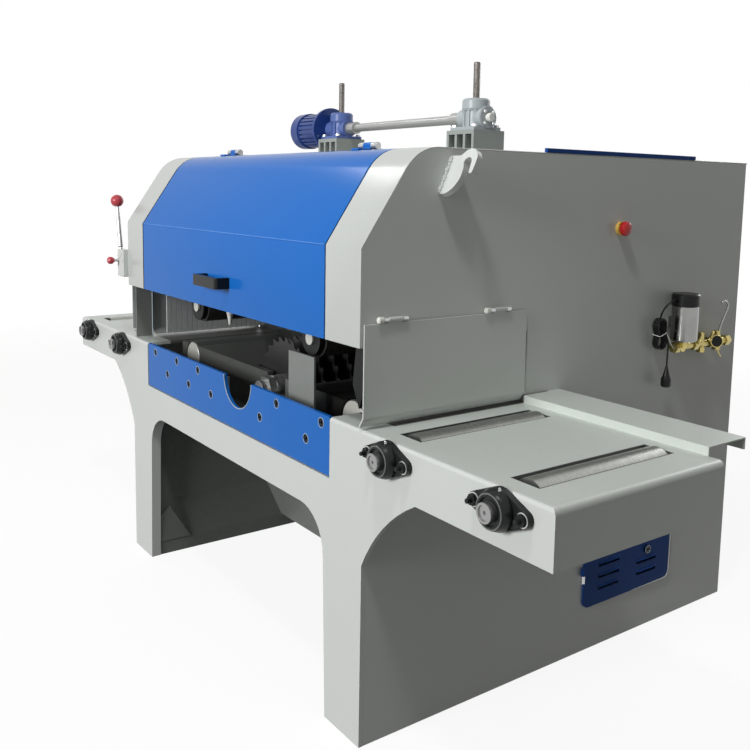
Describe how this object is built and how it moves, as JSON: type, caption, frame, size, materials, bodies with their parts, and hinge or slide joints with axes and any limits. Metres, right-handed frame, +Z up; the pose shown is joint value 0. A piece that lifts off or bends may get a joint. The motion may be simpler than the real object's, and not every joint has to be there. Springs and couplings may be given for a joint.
{
  "type": "multi_rip_saw",
  "caption": "Multi rip saw: arched floor frame, roller tables at both ends, blue lifting hood over an arbor of saw blades, jack-driven press rollers and a side-mounted pump",
  "frame": {"origin": "Middle of the footprint on the floor, midway between the lever's pull knob at the front and the back panel.", "axes": "+X along the feed towards the infeed table, -Y towards the operator, +Z up"},
  "size_m": [2.642, 1.546, 1.703],
  "materials": {
    "frame_paint": "semi-gloss light grey paint",
    "blue_paint": "gloss blue paint",
    "navy_paint": "gloss dark blue paint",
    "dark_steel": "dark worn paint",
    "black_iron": "black painted casting",
    "bright_steel": "machined",
    "polished": "polished",
    "yellow_metal": "machined",
    "roller_rubber": "matte",
    "black_plastic": "moulded",
    "red_plastic": "moulded",
    "pale_plastic": "moulded"
  },
  "bodies": {
    "frame": {"arbor_housing": "frame_paint", "arbor_panel": "blue_paint", "back_panel": "frame_paint", "bearing_housings": "black_iron", "bed_plate": "dark_steel", "brass_manifold": "yellow_metal", "chamber_wall": "frame_paint", "cord_free": "black_plastic", "cord_hank": "black_plastic", "cross_rods": "bright_steel", "drive_belts": "roller_rubber", "end_plate_left": "frame_paint", "end_plate_right": "frame_paint", "estop_base": "pale_plastic", "fasteners": "dark_steel", "fences": "frame_paint", "front_plate": "frame_paint", "guide_columns": "bright_steel", "hinge_mounts": "bright_steel", "hood_strips": "frame_paint", "inner_plates": "frame_paint", "jack_brackets": "frame_paint", "jack_gearbox_left": "navy_paint", "jack_gearbox_right": "frame_paint", "jack_motor": "navy_paint", "lever_bracket": "frame_paint", "lifting_hooks": "bright_steel", "main_motor": "navy_paint", "mains_plug": "black_plastic", "pump_can": "polished", "pump_cap": "black_plastic", "roof_panel": "frame_paint", "table_left": "frame_paint", "table_right": "frame_paint", "top_cover": "blue_paint"},
    "hood_door": {"front_door": "blue_paint", "door_handle": "black_plastic"},
    "roller_1": {"table_roller_1": "bright_steel"},
    "roller_2": {"table_roller_2": "bright_steel"},
    "roller_3": {"table_roller_3": "bright_steel"},
    "roller_4": {"table_roller_4": "bright_steel"},
    "feed_right": {"feed_roller_right": "bright_steel"},
    "feed_left": {"feed_roller_left": "bright_steel"},
    "press": {"press_frame": "dark_steel", "jack_screws": "bright_steel"},
    "press_right": {"press_roller_right": "roller_rubber"},
    "press_left": {"press_roller_left": "roller_rubber"},
    "shaft": {"cross_shaft": "frame_paint"},
    "arbor": {"saw_arbor": "bright_steel", "saw_blades": "bright_steel", "arbor_collars": "bright_steel"},
    "drive_pulley": {"motor_pulley": "dark_steel"},
    "flap_in": {"flap_right": "frame_paint"},
    "flap_out": {"flap_left": "frame_paint"},
    "vent": {"vent_door": "blue_paint"},
    "lock": {"vent_lock": "bright_steel"},
    "stop": {"estop_button": "red_plastic"},
    "lever": {"feed_lever": "bright_steel"},
    "pin": {"lock_pin": "red_plastic"},
    "fingers": {"kickback_fingers": "dark_steel"}
  },
  "joints": [
    {"name": "door_lift", "type": "hinge", "parent": "frame", "child": "hood_door", "pos_m": [0, -0.46, 1.443], "axis": [-1, 0, 0], "range_deg": [0, 95]},
    {"name": "roller_1_spin", "type": "hinge", "parent": "frame", "child": "roller_1", "pos_m": [-1.19, -0.443, 0.742], "axis": [0, 1, 0], "continuous": true},
    {"name": "roller_2_spin", "type": "hinge", "parent": "frame", "child": "roller_2", "pos_m": [-0.835, -0.443, 0.742], "axis": [0, 1, 0], "continuous": true},
    {"name": "roller_3_spin", "type": "hinge", "parent": "frame", "child": "roller_3", "pos_m": [0.835, -0.443, 0.742], "axis": [0, 1, 0], "continuous": true},
    {"name": "roller_4_spin", "type": "hinge", "parent": "frame", "child": "roller_4", "pos_m": [1.19, -0.443, 0.742], "axis": [0, 1, 0], "continuous": true},
    {"name": "feed_right_spin", "type": "hinge", "parent": "frame", "child": "feed_right", "pos_m": [0.5, -0.403, 0.7345], "axis": [0, 1, 0], "continuous": true},
    {"name": "feed_left_spin", "type": "hinge", "parent": "frame", "child": "feed_left", "pos_m": [-0.5, -0.403, 0.7345], "axis": [0, 1, 0], "continuous": true},
    {"name": "press_lift", "type": "slide", "parent": "frame", "child": "press", "axis": [0, 0, 1], "range_m": [-0.07, 0.03]},
    {"name": "press_right_spin", "type": "hinge", "parent": "press", "child": "press_right", "pos_m": [0.36, -0.433, 0.932], "axis": [0, 1, 0], "continuous": true},
    {"name": "press_left_spin", "type": "hinge", "parent": "press", "child": "press_left", "pos_m": [-0.36, -0.433, 0.932], "axis": [0, 1, 0], "continuous": true},
    {"name": "shaft_turn", "type": "hinge", "parent": "frame", "child": "shaft", "pos_m": [0, -0.053, 1.541], "axis": [1, 0, 0], "range_deg": [-2600, 1150]},
    {"name": "arbor_spin", "type": "hinge", "parent": "frame", "child": "arbor", "pos_m": [0.095, -0.403, 0.74], "axis": [0, 1, 0], "continuous": true},
    {"name": "drive_pulley_spin", "type": "hinge", "parent": "frame", "child": "drive_pulley", "pos_m": [0.095, 0.097, 0.33], "axis": [0, 1, 0], "continuous": true},
    {"name": "flap_in_swing", "type": "hinge", "parent": "frame", "child": "flap_in", "pos_m": [0.741, -0.443, 1.034], "axis": [0, -1, 0], "range_deg": [0, 75]},
    {"name": "flap_out_swing", "type": "hinge", "parent": "frame", "child": "flap_out", "pos_m": [-0.741, -0.443, 1.034], "axis": [0, 1, 0], "range_deg": [0, 75]},
    {"name": "vent_swing", "type": "hinge", "parent": "frame", "child": "vent", "pos_m": [0.74, 0.069, 0.27], "axis": [0, 0, -1], "range_deg": [0, 110]},
    {"name": "lock_turn", "type": "hinge", "parent": "vent", "child": "lock", "pos_m": [0.735, 0.359, 0.25], "axis": [-1, 0, 0], "range_deg": [0, 90]},
    {"name": "stop_push", "type": "slide", "parent": "frame", "child": "stop", "axis": [-1, 0, 0], "range_m": [0, 0.005], "stiffness_N_per_m": 800},
    {"name": "lever_swing", "type": "hinge", "parent": "frame", "child": "lever", "pos_m": [-0.778, -0.722, 1.04], "axis": [0, -1, 0], "range_deg": [0, 40]},
    {"name": "pin_pull", "type": "slide", "parent": "frame", "child": "pin", "axis": [0, -1, 0], "range_m": [0, 0.008], "stiffness_N_per_m": 600},
    {"name": "finger_swing", "type": "hinge", "parent": "frame", "child": "fingers", "pos_m": [0.64, -0.443, 1], "axis": [0, 1, 0], "range_deg": [0, 60]}
  ],
  "couplings": [
    {"joint": "feed_left_spin", "follows": "feed_right_spin", "ratio": 1},
    {"joint": "shaft_turn", "follows": "press_lift", "rad_per_m": 628.3},
    {"joint": "drive_pulley_spin", "follows": "arbor_spin", "ratio": 0.6774}
  ]
}
